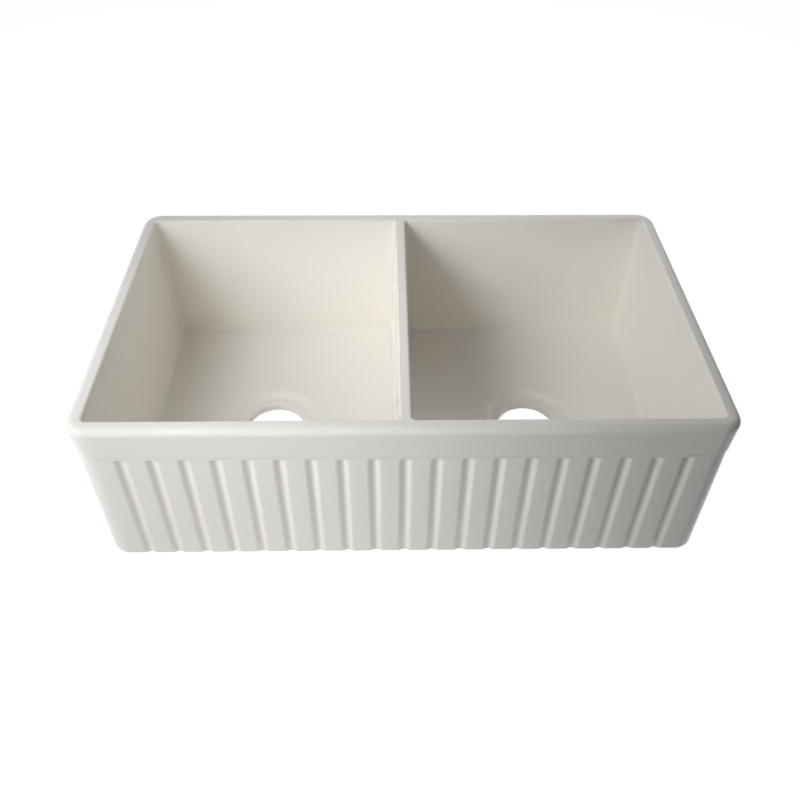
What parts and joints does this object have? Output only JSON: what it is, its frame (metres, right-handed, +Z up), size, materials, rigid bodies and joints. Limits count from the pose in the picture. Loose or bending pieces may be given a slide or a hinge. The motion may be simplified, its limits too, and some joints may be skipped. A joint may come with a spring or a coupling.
{
  "type": "farmhouse apron front sink",
  "caption": "Farmhouse apron-front kitchen sink in glazed fireclay with two bowls, a fluted apron, a proud collar round the rim and open drain holes.",
  "frame": {"origin": "on the ground plane, under the middle of the collar's outline", "axes": "+X along the apron to the right as seen from the front, +Y from the apron to the back, +Z up"},
  "size_m": [0.838, 0.508, 0.254],
  "materials": {
    "glaze": "gloss biscuit glaze"
  },
  "bodies": {
    "root": {"front_rim": "glaze", "back_rim": "glaze", "left_rim": "glaze", "right_rim": "glaze", "bowl_divider": "glaze", "fluted_apron": "glaze", "front_wall": "glaze", "back_wall": "glaze", "left_end_wall": "glaze", "right_end_wall": "glaze", "left_bowl_floor": "glaze", "right_bowl_floor": "glaze", "left_drain_seat": "glaze", "right_drain_seat": "glaze"}
  },
  "joints": []
}
